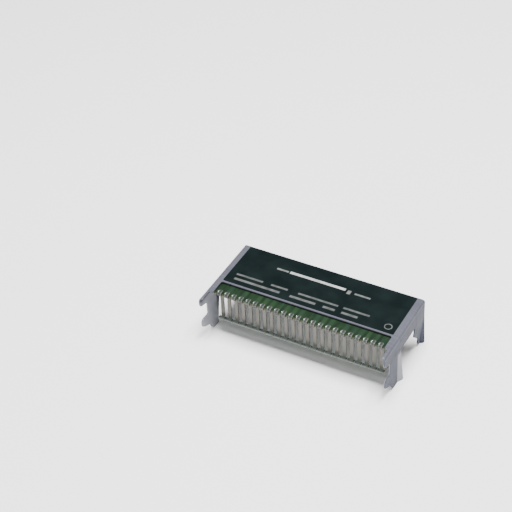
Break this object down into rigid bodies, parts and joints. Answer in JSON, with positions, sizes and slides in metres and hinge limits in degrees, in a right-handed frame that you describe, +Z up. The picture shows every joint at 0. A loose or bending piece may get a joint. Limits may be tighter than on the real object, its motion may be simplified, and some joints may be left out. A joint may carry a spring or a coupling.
{
  "type": "dc-dc converter module",
  "caption": "Board-level power converter module: a low folded metal case on four forked legs, with a circuit board and a row of clip-on terminal pins beneath.",
  "frame": {"origin": "middle of the footprint, on the plane of the four leg tips", "axes": "+X along the module's long side; -Y towards the terminal pins and prongs; +Z up, out of the label face"},
  "size_m": [0.0828, 0.0378, 0.0224],
  "materials": {
    "case_metal": "satin tinned sheet",
    "label_film": "matt black film",
    "pad_plastic": "matt insulating pad",
    "board_laminate": "green solder resist",
    "tinned_metal": "tinned",
    "moulding_dark": "moulded epoxy",
    "ferrite": "ground ferrite",
    "copper_wire": "enamelled wire",
    "ceramic_tan": "fired ceramic",
    "ceramic_orange": "moulded case",
    "ceramic_dark": "glazed chip",
    "ceramic_cream": "fired ceramic"
  },
  "bodies": {
    "root": {"case_shell": "case_metal", "label": "label_film", "insulating_pad": "pad_plastic", "circuit_board": "board_laminate", "terminal_pin_01": "tinned_metal", "terminal_pin_02": "tinned_metal", "terminal_pin_03": "tinned_metal", "terminal_pin_04": "tinned_metal", "terminal_pin_05": "tinned_metal", "terminal_pin_06": "tinned_metal", "terminal_pin_07": "tinned_metal", "terminal_pin_08": "tinned_metal", "terminal_pin_09": "tinned_metal", "terminal_pin_10": "tinned_metal", "terminal_pin_11": "tinned_metal", "terminal_pin_12": "tinned_metal", "terminal_pin_13": "tinned_metal", "terminal_pin_14": "tinned_metal", "terminal_pin_15": "tinned_metal", "terminal_pin_16": "tinned_metal", "terminal_pin_17": "tinned_metal", "terminal_pin_18": "tinned_metal", "terminal_pin_19": "tinned_metal", "terminal_pin_20": "tinned_metal", "terminal_pin_21": "tinned_metal", "terminal_pin_22": "tinned_metal", "terminal_pin_23": "tinned_metal", "inductor_base": "moulding_dark", "inductor_shield": "ferrite", "inductor_drum": "ferrite", "inductor_winding": "copper_wire", "inductor_terminal_back": "tinned_metal", "inductor_terminal_front": "tinned_metal", "controller_body": "moulding_dark", "controller_leads": "tinned_metal", "driver_body": "moulding_dark", "driver_leads": "tinned_metal", "switch_body": "moulding_dark", "switch_leads": "tinned_metal", "ceramic_capacitor_1": "ceramic_tan", "ceramic_capacitor_2": "ceramic_tan", "ceramic_capacitor_3": "ceramic_tan", "ceramic_capacitor_4": "ceramic_tan", "ceramic_capacitor_ends": "tinned_metal", "tantalum_capacitor_bodies": "ceramic_orange", "tantalum_capacitor_ends": "tinned_metal", "shunt_bodies": "ceramic_cream", "shunt_ends": "tinned_metal", "filter_part_bodies": "ceramic_tan", "filter_part_ends": "tinned_metal", "timing_part_bodies": "ceramic_dark", "timing_part_ends": "tinned_metal", "sense_part_bodies": "ceramic_dark", "sense_part_ends": "tinned_metal", "feedback_part_bodies": "ceramic_dark", "feedback_part_ends": "tinned_metal", "bypass_part_bodies": "ceramic_cream", "bypass_part_ends": "tinned_metal"}
  },
  "joints": []
}
